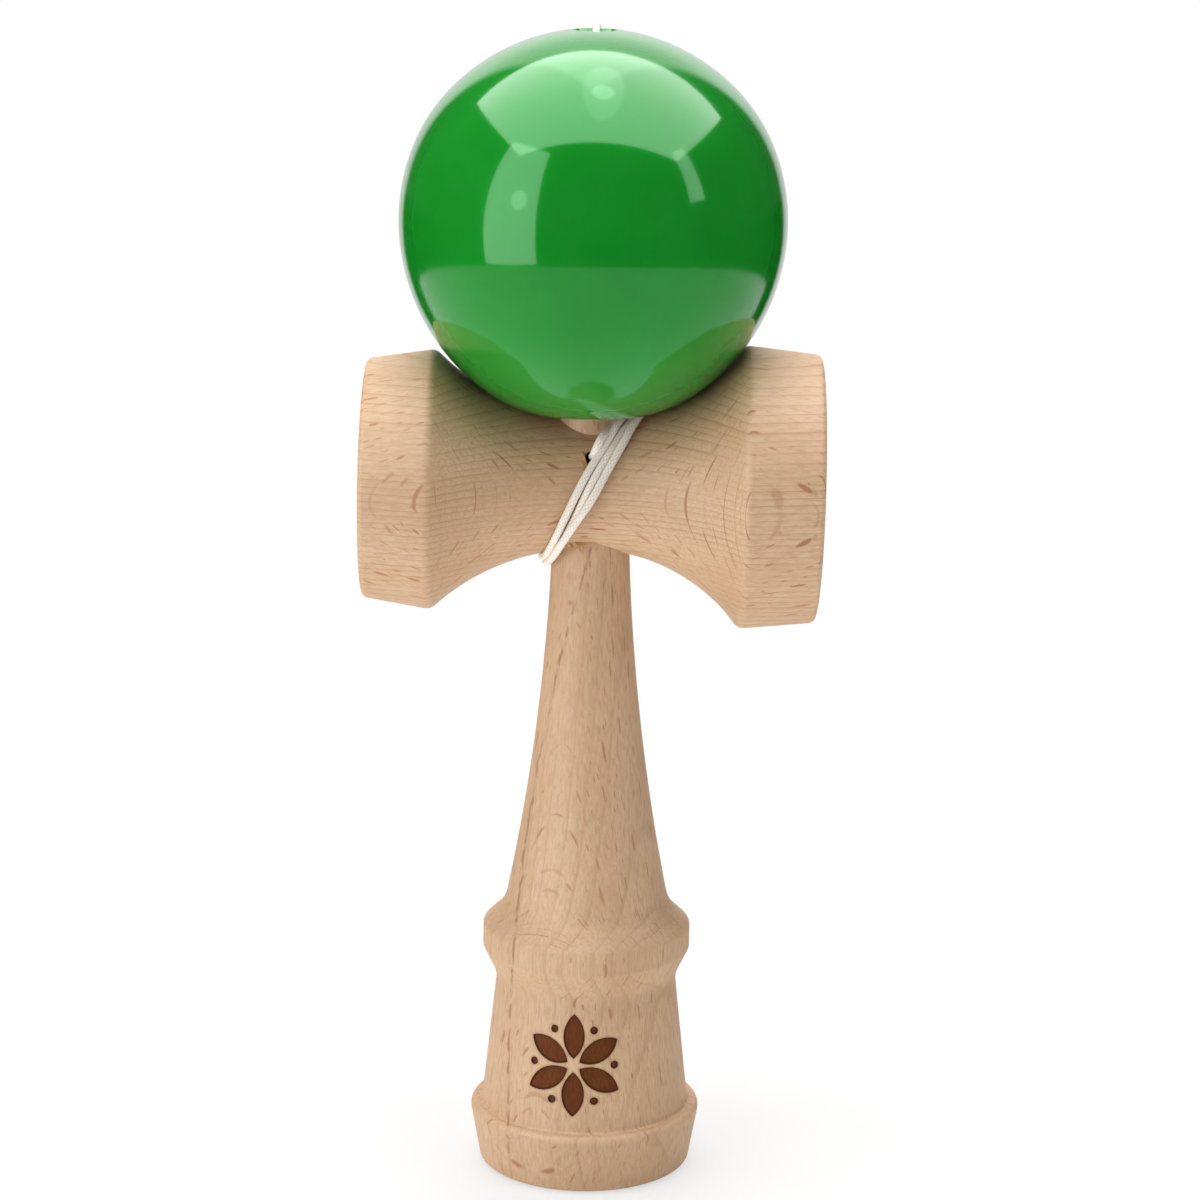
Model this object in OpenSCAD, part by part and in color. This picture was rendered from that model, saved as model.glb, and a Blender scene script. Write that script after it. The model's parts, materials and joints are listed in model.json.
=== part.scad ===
// Cup and ball toy: a turned wooden handle with a spike, a cross piece with two cups, and a ball on a string.
// The origin is the centre of the foot's rim on the table, +Z is up the handle and +X is the big cup's side.
// All sizes are millimetres.

/* [Ball] */
// Diameter of the ball
ball_d = 60; // [56:0.5:66]
// Diameter of the hole that the spike goes into
spike_hole_d = 22; // [21:0.5:24]
// Depth of that hole from the ball's lowest point
spike_hole_depth = 43.3; // [40:0.1:46]
// Bevel round the mouth of that hole
spike_hole_bevel = 0.5; // [0.3:0.1:0.8]
// Room between the spike's tip and the end of its hole
tip_room = 3; // [2.5:0.5:6]
// Diameter of the funnel where the string leaves the ball
funnel_d = 7.2; // [6.8:0.2:9]
// Depth of the funnel
funnel_depth = 2; // [1.8:0.1:3]
// Height that the ball rests above the edge of the big cup
ball_rest_gap = 0.2; // [0.1:0.05:0.4]

/* [Bead in the ball] */
// Diameter of the bead that holds the string in the ball
bead_d = 8; // [6.5:0.5:9]
// Height of the bead
bead_h = 6.2; // [5:0.1:7]
// Room round the bead in its chamber
bead_side_room = 1; // [0.5:0.1:1.5]
// Room between the bead and the end of its chamber
bead_end_room = 0.3; // [0.2:0.1:0.5]

/* [Handle] */
// Diameter of the foot at its upper edge
foot_d = 37.5; // [36:0.5:42]
// Diameter of the foot on the table
foot_bottom_d = 34; // [32:0.5:35.5]
// Height of the foot
foot_h = 9.8; // [8.5:0.1:12]
// Diameter of the body where it leaves the foot
body_d = 33.5; // [32:0.5:35]
// Diameter of the neck under the ring
neck_d = 28.8; // [27:0.2:31]
// Height of the neck
neck_z = 31.5; // [29:0.5:33]
// Diameter of the ring
ring_d = 33.3; // [32:0.1:36]
// Height of the ring's lower edge
ring_low_z = 36.2; // [35:0.2:37.5]
// Height of the ring's upper edge
ring_top_z = 40; // [39:0.2:42]
// Height where the flare above the ring runs out
flare_z = 43.2; // [42.8:0.2:46]
// Diameter of the handle there
flare_d = 26.4; // [23:0.2:27]
// Diameter of the handle at the lower side of the cross piece
seat_d = 12.2; // [11.4:0.1:13]
// Half angle of the tapered seat and spike
seat_taper = 2; // [1.5:0.1:2.5]
// Length of the rounded nose of the spike
nose_length = 7; // [5:0.5:9]
// Diameter of the flat end of the nose
nose_d = 3.2; // [2.4:0.2:4]
// Diameter of the cup in the foot
base_cup_d = 28.6; // [26:0.2:30]
// Depth of the cup in the foot
base_cup_depth = 7; // [5:0.5:9]

/* [Cross piece] */
// Length over both cups
cross_w = 71; // [68:0.5:78]
// Height of its axis above the table
cross_z = 112; // [106:0.5:118]
// Angle that its axis leans, with the small cup the higher one
cross_lean = 0.8; // [0:0.1:1]
// Diameter of the waist between the cups
waist_d = 20.6; // [19.4:0.2:22]
// Diameter over the ridge of the big cup
big_ridge_d = 44.4; // [43:0.2:46]
// Distance of that ridge from the handle's axis
big_ridge_x = 23.6; // [22.6:0.2:25]
// Diameter over the rim of the big cup
big_rim_d = 42; // [40.5:0.5:43]
// Diameter of the big cup inside
big_cup_d = 37.2; // [35:0.2:38.6]
// Depth of the big cup
big_cup_depth = 9; // [7:0.5:10]
// Diameter over the ridge of the small cup
small_ridge_d = 40.8; // [39:0.2:42.6]
// Distance of that ridge from the handle's axis
small_ridge_x = 24.8; // [23.6:0.2:26]
// Diameter over the rim of the small cup
small_rim_d = 37.4; // [36:0.2:39]
// Diameter of the small cup inside
small_cup_d = 32.6; // [30:0.2:34]
// Depth of the small cup
small_cup_depth = 8; // [6:0.5:9]
// Clearance of the tapered seat
seat_gap = 0.03; // [0.01:0.01:0.05]

/* [String] */
// Diameter of the string
string_d = 1.2; // [1:0.05:1.3]
// Diameter of the string's holes
string_hole_d = 2.6; // [2.4:0.1:3]
// Height of the string's hole above the axis of the cross piece
string_hole_up = 5.6; // [5:0.1:6]
// Gap between two turns of the winding
turn_gap = 0.45; // [0.42:0.01:0.6]
// Diameter of the knots
knot_d = 3.2; // [3:0.1:3.4]
// Length of the knots
knot_h = 3; // [2.6:0.1:3.2]
// Room round the knot in the handle
knot_room = 0.3; // [0.2:0.1:0.5]

/* [Edges] */
// Rounding of the rims of the cups
rim_round = 1; // [0.6:0.1:1.1]
// Rounding of the ridges behind the cups
ridge_round = 1; // [0.6:0.1:1.4]
// Rounding of the foot's upper edge
foot_round = 1.1; // [0.6:0.1:1.3]
// Rounding of the foot's lower edge
foot_bottom_round = 0.8; // [0.5:0.1:1]
// Rounding of the ring's edges
ring_round = 1; // [0.6:0.1:1.3]

/* [Hidden] */
$fn = 96;
arc_steps = 8;
curve_steps = 24;
past = 1;

// Colours
beech = "#dcbc92";
green = "#1f8a2c";
cord_white = "#efe9dc";

// Heights that follow from the sizes above
waist_r = waist_d / 2;
seat_z = cross_z - waist_r;
function leaned(p) = [
    p[0] * cos(cross_lean) + p[2] * sin(cross_lean),
    p[1],
    p[2] * cos(cross_lean) - p[0] * sin(cross_lean)
];
function rest_height(ridge) = ridge[2] + sqrt(pow(ball_d / 2, 2) - pow(ridge[0], 2));
big_ridge = leaned([big_ridge_x, 0, big_ridge_d / 2]);
small_ridge = leaned([-small_ridge_x, 0, small_ridge_d / 2]);
ball_up = max(rest_height(big_ridge), rest_height(small_ridge)) + ball_rest_gap;
ball_z = cross_z + ball_up;
ball_bottom_z = ball_z - ball_d / 2;
ball_top_z = ball_z + ball_d / 2;
spike_hole_z = ball_bottom_z + spike_hole_depth;
tip_z = spike_hole_z - tip_room;
bead_lift = 1;
bead_z = spike_hole_z + bead_lift;
chamber_h = bead_lift + bead_h + bead_end_room;
string_hole_z = cross_z + string_hole_up;

// Outlines
body_fillet = 0.5;
neck_fillet = 5;
flare_fillet = 3;
nose_fillet = 8;
nose_tip_round = 1.2;
foot_lip = [foot_d / 2, foot_h];
function seat_r(z) = seat_d / 2 - tan(seat_taper) * (z - seat_z);
function unit(v) = v / norm(v);

// An arc of radius f that rounds the corner p between its neighbours a and b
function corner_arc(a, p, b, f) =
    let (u = unit(a - p))
    let (w = unit(b - p))
    let (half = acos(u * w) / 2)
    let (centre = p + unit(u + w) * f / sin(half))
    let (from = p + u * f / tan(half) - centre)
    let (to = p + w * f / tan(half) - centre)
    let (start = atan2(from[1], from[0]))
    let (turn = (atan2(to[1], to[0]) - start + 540) % 360 - 180)
    [for (i = [0 : arc_steps]) centre + f * [cos(start + turn * i / arc_steps), sin(start + turn * i / arc_steps)]];

// An outline with its corners rounded: each corner is [across, along, rounding]
function flat(corner) = [corner[0], corner[1]];
function rounded(corners) =
    let (n = len(corners))
    [for (i = [0 : n - 1])
        each corners[i][2] == 0
            ? [flat(corners[i])]
            : corner_arc(
                flat(corners[(i + n - 1) % n]), flat(corners[i]), flat(corners[(i + 1) % n]), corners[i][2]
            )];

// The handle above the flare: the seat's taper, plus a share that grows with the square of the way down
handle_length = seat_z - flare_z;
handle_spread = flare_d / 2 - seat_r(flare_z);
function handle_r(z) = seat_r(z) + handle_spread * pow((seat_z - z) / handle_length, 2);
handle_curve = [
    for (i = [1 : curve_steps])
        let (z = flare_z + handle_length * i / curve_steps)
        [handle_r(z), z, 0]
];
handle_outline = rounded(concat(
    [
        [0, 0, 0],
        [foot_bottom_d / 2, 0, foot_bottom_round],
        [foot_lip[0], foot_lip[1], foot_round],
        [body_d / 2, foot_h, body_fillet],
        [neck_d / 2, neck_z, neck_fillet],
        [ring_d / 2, ring_low_z, ring_round],
        [ring_d / 2, ring_top_z, ring_round],
        [flare_d / 2, flare_z, flare_fillet]
    ],
    handle_curve,
    [
        [seat_r(tip_z - nose_length), tip_z - nose_length, nose_fillet],
        [nose_d / 2, tip_z, nose_tip_round],
        [0, tip_z, 0]
    ]
));

// The waist of the cross piece: one arc on each side, from the handle's axis to the ridge
function bow(ridge_d, ridge_x) =
    let (rise = ridge_d / 2 - waist_r)
    (pow(ridge_x, 2) + pow(rise, 2)) / (2 * rise);
big_bow = bow(big_ridge_d, big_ridge_x);
small_bow = bow(small_ridge_d, small_ridge_x);
function waist_bow(x) = x < 0 ? small_bow : big_bow;
function waist_at(x) = waist_r + waist_bow(x) - sqrt(pow(waist_bow(x), 2) - pow(x, 2));
function waist_slope(x) = x / sqrt(pow(waist_bow(x), 2) - pow(x, 2));
small_curve = [
    for (i = [1 : curve_steps])
        let (x = -small_ridge_x * (1 - i / curve_steps))
        [waist_at(x), x, 0]
];
big_curve = [
    for (i = [1 : curve_steps - 1])
        let (x = big_ridge_x * i / curve_steps)
        [waist_at(x), x, 0]
];
cross_outline = rounded(concat(
    [
        [0, -cross_w / 2, 0],
        [small_rim_d / 2, -cross_w / 2, rim_round],
        [small_ridge_d / 2, -small_ridge_x, ridge_round]
    ],
    small_curve,
    big_curve,
    [
        [big_ridge_d / 2, big_ridge_x, ridge_round],
        [big_rim_d / 2, cross_w / 2, rim_round],
        [0, cross_w / 2, 0]
    ]
));

// Radius of the hollow ball that leaves a cup of this width and depth
function cup_r(d, depth) = (pow(d / 2, 2) + pow(depth, 2)) / (2 * depth);

// String: the winding goes round the waist, right of the spike above and left of the handle below.
// Its angle starts at the front and goes up, over the top, down the back and under.
string_r = string_d / 2;
wrap_gap = 0.12;
spike_side_gap = 0.1;
handle_side_gap = 0.2;
winding_from = 180;
winding_to = 1130;
winding_step = 15;
first_top = 450;
front_shift = -1.1;
front_ease = 0.37;
pitch = string_d + turn_gap;
first_top_x = seat_r(cross_z + waist_r) + 1.5 * string_d + spike_side_gap;
last_low_x = -(seat_d / 2 + string_r + handle_side_gap);
first_low_x = last_low_x - 2 * pitch;
reach = (first_top_x - first_low_x - pitch / 2) / 2;
lean = atan((reach - 4 * front_ease) / (waist_r + string_r));
front_pitch = pitch / cos(lean);
function winding_x(a) =
    let (turn = (a - first_top) / 360 + (first_top_x - reach) / pitch)
    let (frontness = pow(cos(a), 2))
    (reach - front_ease) * sin(a) - front_ease * sin(3 * a)
        + (pitch + (front_pitch - pitch) * frontness) * turn
        + front_shift * frontness;
function winding_point(a) =
    let (x = winding_x(a))
    let (r = waist_at(x) + (string_r + wrap_gap) * sqrt(1 + pow(waist_slope(x), 2)))
    leaned([x, -r * cos(a), r * sin(a)]);
winding_turns = [for (a = [winding_from : winding_step : winding_to]) winding_point(a)];
turns_n = len(winding_turns);
start_way = unit(winding_turns[1] - winding_turns[0]);
end_way = unit(winding_turns[turns_n - 1] - winding_turns[turns_n - 2]);
winding_start = winding_turns[0] - start_way * string_d;
winding_end = winding_turns[turns_n - 1] + end_way * string_d;
winding_route = concat([winding_start], winding_turns, [winding_end]);

// The least gap between turns, on points half a turn or more apart
half_turn = 180 / winding_step;
winding_gap = min([
    for (i = [0 : turns_n - half_turn - 1])
        for (j = [i + half_turn : turns_n - 1])
            norm(winding_turns[i] - winding_turns[j])
]) - string_d;
echo(winding_gap = winding_gap);

// Route of the string from its knot in the handle to the winding, from the axis of the cross piece
lead_way = [
    [0, 2.3, 5.6],
    [0, 0, 5.6],
    [0, -3, 5.6],
    [0, -5.4, 5.6],
    [0, -7, 5.6],
    [0, -8, 5.9],
    [0.2, -8.9, 6.6],
    [0.6, -9.3, 7.7],
    [1.2, -9.1, 8.8],
    [2.1, -8.3, 9.4],
    [3.1, -7, 9.8],
    [4, -5.6, 10.2],
    [5.2, -3.4, 11],
    [5.9, -1.5, 11.5],
    [6.1, 0.4, 11.7],
    [5.6, 2.9, 11.2],
    [4.2, 5.6, 9.9],
    [2.2, 7.9, 7.9],
    [0.1, 9.7, 5.5]
];
lead_route = concat(
    [for (p = lead_way) leaned(p)],
    [winding_start - start_way * string_d, winding_start]
);

// Route of the string from the winding over the waist, from the axis of the cross piece
waist_way = [
    [9.5, -4.2, 12],
    [9.95, -2, 12.8],
    [10.05, 0.2, 13.1],
    [9.8, 3, 12.75],
    [9.05, 5.8, 11.5],
    [8.3, 8.5, 10.4],
    [7.7, 10.8, 10.9]
];

// Its route up the back of the ball and down into the top, from the middle of the ball
ball_way = [
    [7.4, 12.8, -28.5],
    [7.4, 14.7, -26.6],
    [7.3, 18.1, -24],
    [7, 21.9, -20.7],
    [6.5, 25.3, -16.6],
    [5.8, 28, -11.8],
    [4.9, 29.8, -6.6],
    [3.9, 30.7, -1.1],
    [2.9, 30.5, 4.1],
    [2, 29.3, 9.7],
    [1.2, 27.2, 14.7],
    [0.6, 24.1, 19.5],
    [0.2, 20.1, 23.6],
    [0, 15.5, 26.9],
    [0, 10.7, 29],
    [0, 7.6, 29.9],
    [0, 5.5, 30.4],
    [0, 3.9, 30.6],
    [0, 2.5, 30.2],
    [0, 1.3, 29.3],
    [0, 0.45, 28.1],
    [0, 0.05, 26.7],
    [0, 0, 25.2],
    [0, 0, 23],
    [0, 0, 20],
    [0, 0, 17],
    [0, 0, 14.1]
];
tail_route = concat(
    [winding_end, winding_end + end_way * string_d],
    [for (p = waist_way) leaned(p)],
    [for (p = ball_way) p + [0, 0, ball_up]]
);
anchor_face = lead_route[0];
tail_end = tail_route[len(tail_route) - 1];

// A tube swept along points: its rings are turned as little as they can be from one point to the next
function way(points, i) =
    let (before = points[max(i - 1, 0)])
    let (after = points[min(i + 1, len(points) - 1)])
    unit(after - before);
function across(v) = abs(v[0]) < 0.6 ? unit(cross(v, [1, 0, 0])) : unit(cross(v, [0, 0, 1]));
function square_to(side, v) = unit(side - (side * v) * v);
function sides_along(points) = [
    for (i = 0, side = across(way(points, 0));
        i < len(points);
        i = i + 1, side = i < len(points) ? square_to(side, way(points, i)) : side)
        side
];

module tube(points, d, corners) {
    n = len(points);
    sides = sides_along(points);
    rings = [
        for (i = [0 : n - 1])
            let (up = cross(way(points, i), sides[i]))
            for (j = [0 : corners - 1])
                points[i] + d / 2 * (cos(360 * j / corners) * sides[i] + sin(360 * j / corners) * up)
    ];
    walls = [
        for (i = [0 : n - 2])
            for (j = [0 : corners - 1])
                let (a = i * corners + j)
                let (b = i * corners + (j + 1) % corners)
                each [[a, b + corners, b], [a, a + corners, b + corners]]
    ];
    start_cap = [for (j = [1 : corners - 2]) [0, j, j + 1]];
    last = (n - 1) * corners;
    end_cap = [for (j = [1 : corners - 2]) [last, last + j + 1, last + j]];
    polyhedron(rings, concat(start_cap, walls, end_cap));
}

// A knot drawn tight: a barrel with round shoulders and two flat ends, standing on its lower end
module knot() {
    rotate_extrude()
        polygon(rounded([
            [0, 0, 0],
            [knot_d / 2, 0, knot_d / 4],
            [knot_d / 2, knot_h, knot_d / 4],
            [0, knot_h, 0]
        ]));
}

module handle() {
    base_r = cup_r(base_cup_d, base_cup_depth);
    color(beech)
        difference() {
            rotate_extrude()
                polygon(handle_outline);
            translate([0, 0, base_cup_depth - base_r])
                sphere(r = base_r);
            translate([0, 0, string_hole_z])
                rotate([90, 0, 0])
                    cylinder(h = seat_d, d = string_hole_d, center = true);
            translate([0, anchor_face[1] - knot_room, string_hole_z])
                rotate([-90, 0, 0])
                    cylinder(h = seat_d, d = knot_d + 2 * knot_room);
        }
}

module cross_piece() {
    big_r = cup_r(big_cup_d, big_cup_depth);
    small_r = cup_r(small_cup_d, small_cup_depth);
    color(beech)
        difference() {
            translate([0, 0, cross_z])
                rotate([0, 90 + cross_lean, 0])
                    rotate_extrude()
                        polygon(cross_outline);
            translate(leaned([cross_w / 2 - big_cup_depth + big_r, 0, 0]) + [0, 0, cross_z])
                sphere(r = big_r);
            translate(leaned([small_cup_depth - small_r - cross_w / 2, 0, 0]) + [0, 0, cross_z])
                sphere(r = small_r);
            translate([0, 0, seat_z - waist_r])
                cylinder(
                    h = 4 * waist_r,
                    r1 = seat_r(seat_z - waist_r) + seat_gap,
                    r2 = seat_r(seat_z + 3 * waist_r) + seat_gap
                );
            translate([0, 0, string_hole_z])
                rotate([90, 0, 0])
                    cylinder(h = waist_d, d = string_hole_d);
        }
}

module ball() {
    mouth_r = spike_hole_d / 2 + spike_hole_bevel;
    mouth_z = ball_z - sqrt(pow(ball_d / 2, 2) - pow(mouth_r, 2));
    funnel_z = ball_z + sqrt(pow(ball_d / 2, 2) - pow(funnel_d / 2, 2));
    funnel_slope = (funnel_d - string_hole_d) / 2 / funnel_depth;
    color(green)
        difference() {
            translate([0, 0, ball_z])
                sphere(d = ball_d);
            translate([0, 0, ball_bottom_z - past])
                cylinder(h = spike_hole_depth + past, d = spike_hole_d);
            translate([0, 0, mouth_z - past])
                cylinder(h = spike_hole_bevel + past, r1 = mouth_r + past, r2 = spike_hole_d / 2);
            translate([0, 0, spike_hole_z - past])
                cylinder(h = chamber_h + past, d = bead_d + 2 * bead_side_room);
            translate([0, 0, spike_hole_z])
                cylinder(h = ball_top_z - spike_hole_z + past, d = string_hole_d);
            translate([0, 0, funnel_z - funnel_depth])
                cylinder(
                    h = funnel_depth + past,
                    r1 = string_hole_d / 2,
                    r2 = funnel_d / 2 + past * funnel_slope
                );
        }
}

module string_bead() {
    bead_hole_r = string_hole_d / 2;
    edge = bead_h / 3;
    color(beech)
        translate([0, 0, bead_z])
            rotate_extrude()
                polygon(rounded([
                    [bead_hole_r, 0, 0],
                    [bead_d / 2, 0, edge],
                    [bead_d / 2, bead_h, edge],
                    [bead_hole_r, bead_h, 0]
                ]));
}

module bead_knot() {
    color(cord_white)
        translate([0, 0, cross_z + tail_end[2] - knot_h])
            knot();
}

module anchor_knot() {
    color(cord_white)
        translate([0, anchor_face[1], string_hole_z])
            rotate([-90, 0, 0])
                knot();
}

module string_lead() {
    color(cord_white)
        translate([0, 0, cross_z])
            tube(lead_route, string_d, 8);
}

module string_winding() {
    color(cord_white)
        translate([0, 0, cross_z])
            tube(winding_route, string_d, 6);
}

module string_tail() {
    color(cord_white)
        translate([0, 0, cross_z])
            tube(tail_route, string_d, 8);
}

handle();
cross_piece();
ball();
string_bead();
bead_knot();
anchor_knot();
string_lead();
string_winding();
string_tail();
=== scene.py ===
"""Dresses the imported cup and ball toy: turned beech, a lacquered ball and a braided string.

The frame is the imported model's: the foot stands on z = 0, the big cup is on +X and the photograph is
taken from -Y. Sizes are written in millimetres, as in the part's source, and become metres in the meshes.
"""

import json
import math

import bpy
import numpy as np
from mathutils import Matrix, Vector


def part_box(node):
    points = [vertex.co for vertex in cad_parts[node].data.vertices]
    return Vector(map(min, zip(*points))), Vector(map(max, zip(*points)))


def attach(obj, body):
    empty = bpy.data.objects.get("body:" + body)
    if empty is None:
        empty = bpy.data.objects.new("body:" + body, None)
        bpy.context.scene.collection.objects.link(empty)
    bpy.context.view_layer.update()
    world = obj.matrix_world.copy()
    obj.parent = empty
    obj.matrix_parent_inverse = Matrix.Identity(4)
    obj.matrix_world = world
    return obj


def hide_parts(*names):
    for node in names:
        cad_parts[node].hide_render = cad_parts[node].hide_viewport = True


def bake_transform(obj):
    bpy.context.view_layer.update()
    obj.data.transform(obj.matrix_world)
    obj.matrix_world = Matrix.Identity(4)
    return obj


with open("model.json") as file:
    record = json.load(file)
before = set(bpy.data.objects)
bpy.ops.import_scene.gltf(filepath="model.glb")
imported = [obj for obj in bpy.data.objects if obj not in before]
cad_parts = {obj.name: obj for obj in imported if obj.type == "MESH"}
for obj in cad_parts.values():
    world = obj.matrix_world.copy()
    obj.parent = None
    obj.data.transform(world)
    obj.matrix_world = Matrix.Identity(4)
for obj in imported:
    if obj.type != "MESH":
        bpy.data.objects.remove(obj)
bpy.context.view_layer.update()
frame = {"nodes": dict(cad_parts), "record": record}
MM = 0.001

# Camera, fitted to the outline in the photograph
PHOTO_PX = 1200
FOCAL_PX = 3379
SENSOR = 36.0
CAMERA_AT = (1.57, -520.0, 216.5)
CAMERA_PITCH = 13.34
CAMERA_ROLL = 0.68


def make_camera():
    lens = bpy.data.cameras.new("photo_camera")
    lens.sensor_width = SENSOR
    lens.lens = SENSOR * FOCAL_PX / PHOTO_PX
    lens.clip_start, lens.clip_end = 0.01, 20
    camera = bpy.data.objects.new("photo_camera", lens)
    bpy.context.scene.collection.objects.link(camera)
    look = Matrix.Rotation(math.radians(90 - CAMERA_PITCH), 4, "X")
    roll = Matrix.Rotation(math.radians(CAMERA_ROLL), 4, "Z")
    camera.rotation_euler = (look @ roll).to_euler()
    camera.location = Vector(CAMERA_AT) * MM
    bpy.context.scene.camera = camera


make_camera()

# Sizes of the turned pieces
FOOT_BOTTOM_R, FOOT_R, FOOT_H = 17.0, 18.75, 9.8
BODY_R, NECK_R, NECK_Z = 16.75, 14.4, 31.5
RING_R, RING_LOW_Z, RING_TOP_Z = 16.65, 36.2, 40.0
FLARE_R, FLARE_Z = 13.2, 43.2
SEAT_R, SEAT_TAPER = 6.1, math.radians(2)
NOSE_LENGTH, NOSE_R = 7.0, 1.6
BASE_CUP_R, BASE_CUP_DEPTH = 14.3, 7.0
WAIST_R = 10.3
BIG_RIDGE_R, BIG_RIDGE_X, BIG_RIM_R, BIG_CUP_R, BIG_CUP_DEPTH = 22.2, 23.6, 21.0, 18.6, 9.0
SMALL_RIDGE_R, SMALL_RIDGE_X, SMALL_RIM_R, SMALL_CUP_R, SMALL_CUP_DEPTH = 20.4, 24.8, 18.7, 16.3, 8.0
SPIKE_HOLE_R, SPIKE_HOLE_DEPTH = 11.0, 43.3
CHAMBER_R, CHAMBER_H = 5.0, 7.5
FUNNEL_R, FUNNEL_DEPTH = 3.6, 2.0
STRING_HOLE_R, STRING_HOLE_UP = 1.3, 5.6
STRING_MOUTH_R = 1.05
KNOT_POCKET_R, KNOT_FACE_Y = 1.9, 2.0
SEAT_GAP = 0.03

# Roundings of their corners
FOOT_BOTTOM_ROUND, FOOT_TOP_ROUND, FOOT_STEP_ROUND = 0.8, 1.1, 0.5
NECK_ROUND, RING_ROUND, FLARE_ROUND, NOSE_ROUND, TIP_ROUND = 5, 1, 6, 8, 1.2
CUP_EDGE_ROUND, RIM_ROUND, RIDGE_ROUND = 0.4, 1, 1.7
SKIN_EDGE_ROUND, FUNNEL_ROUND = 0.2, 0.5
SPIKE_HOLE_ROUND, CHAMBER_EDGE_ROUND, CHAMBER_TOP_ROUND = 0.6, 0.3, 0.4

# The cross piece leans a little, with its small cup the higher one
CROSS_HALF, CROSS_Z = 35.5, 112.0
CROSS_LEAN = math.radians(0.8)
SEAT_Z = CROSS_Z - WAIST_R
STRING_HOLE_Z = CROSS_Z + STRING_HOLE_UP

# Sizes taken from the frame
ball_low, ball_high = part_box("ball")
BALL_R = (ball_high.x - ball_low.x) / 2 / MM
joints = {joint["name"]: joint for joint in frame["record"]["behaviour"]["joints"]}
BALL_Z = joints["ball_spin"]["pos_m"][2] / MM
TIP_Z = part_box("handle")[1].z / MM


def leaned(points):
    """Points given from the middle of the cross piece, turned as it leans and raised to its height."""
    c, s = math.cos(CROSS_LEAN), math.sin(CROSS_LEAN)
    return [(x * c + z * s, y, z * c - x * s + CROSS_Z) for x, y, z in points]


def seat_r(z):
    return SEAT_R - math.tan(SEAT_TAPER) * (z - SEAT_Z)


def grip_r(z):
    spread = FLARE_R - seat_r(FLARE_Z)
    return seat_r(z) + spread * ((SEAT_Z - z) / (SEAT_Z - FLARE_Z)) ** 2


def waist_bow(x):
    ridge_r, ridge_x = (SMALL_RIDGE_R, SMALL_RIDGE_X) if x < 0 else (BIG_RIDGE_R, BIG_RIDGE_X)
    rise = ridge_r - WAIST_R
    return (ridge_x**2 + rise**2) / (2 * rise)


def waist_at(x):
    bow = waist_bow(x)
    return WAIST_R + bow - math.sqrt(bow**2 - x**2)


def waist_slope(x):
    return x / math.sqrt(waist_bow(x) ** 2 - x**2)


STRING_R, WRAP_GAP = 0.6, 0.04
WINDING_STEP, CURVE_STEPS = 1.5, 40
# The string's route, from the middle of the cross piece: out of the hole and up to the top of the waist
LEAD = [
    (0, 2.3, 5.6), (0, 0, 5.6), (0, -3, 5.6), (0, -4.8, 5.6), (0, -6.1, 5.6), (0, -7.1, 5.61),
    (0.08, -8.06, 5.86), (0.32, -8.75, 6.55), (0.7, -9, 7.5), (1.15, -8.75, 8.45), (1.62, -8.06, 9.15),
    (2.12, -7.1, 9.5), (2.7, -6, 9.85), (3.5, -4.4, 10.4), (4.6, -2.5, 11), (5.4, -0.8, 11.45),
    (5.75, 0.9, 11.5),
]
# Its turns round the waist: angle (0 at the front, 90 at the top), x, and the height over other turns
TURNS = [
    (110, 5.6, 0), (135, 4, 0), (180, -1.1, 0), (225, -5.75, 0), (250, -7.1, 0), (270, -7.4, 0),
    (285, -7.15, 0), (301, -6.45, 0), (315, -5.75, 0), (330, -4.8, 0), (341, -4.0, 0), (360, -2.45, 0),
    (375, -1.05, 0), (386, 0.05, 0), (398, 1.5, 0.15), (408, 2.5, 0.45), (419, 3.55, 0.7),
    (430, 4.7, 0.75), (440, 5.85, 0.6), (451, 6.9, 0.3), (465, 7.15, 0), (480, 6.5, 0), (500, 4.95, 0),
    (540, 0.35, 0), (585, -4.5, 0), (610, -5.9, 0), (630, -6.3, 0), (645, -6.0, 0), (661, -5.3, 0),
    (675, -4.5, 0), (690, -3.3, 0), (701, -2.4, 0), (720, -0.92, 0), (735, 0.42, 0), (750, 1.97, 0),
    (765, 3.55, 0), (778, 4.8, 0), (790, 6.05, 0), (800, 7.1, 0), (812, 8.1, 0), (828, 8.3, 0),
    (843, 7.4, 0), (860, 6.1, 0), (900, 1.8, 0), (935, -3, 0.7), (947, -4.3, 0.9), (967, -6.2, 0.9),
    (990, -6.9, 0.85), (1005, -6.6, 0.85), (1021, -5.75, 0.9), (1035, -4.8, 0.95), (1050, -3.45, 1),
    (1061, -2.2, 1), (1070, -1.0, 0.85), (1080, 0.3, 0.5), (1095, 1.8, 0.1), (1110, 3.3, 0),
    (1125, 4.8, 0.1), (1138, 5.95, 0.3), (1150, 7.15, 0.5),
]
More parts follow.
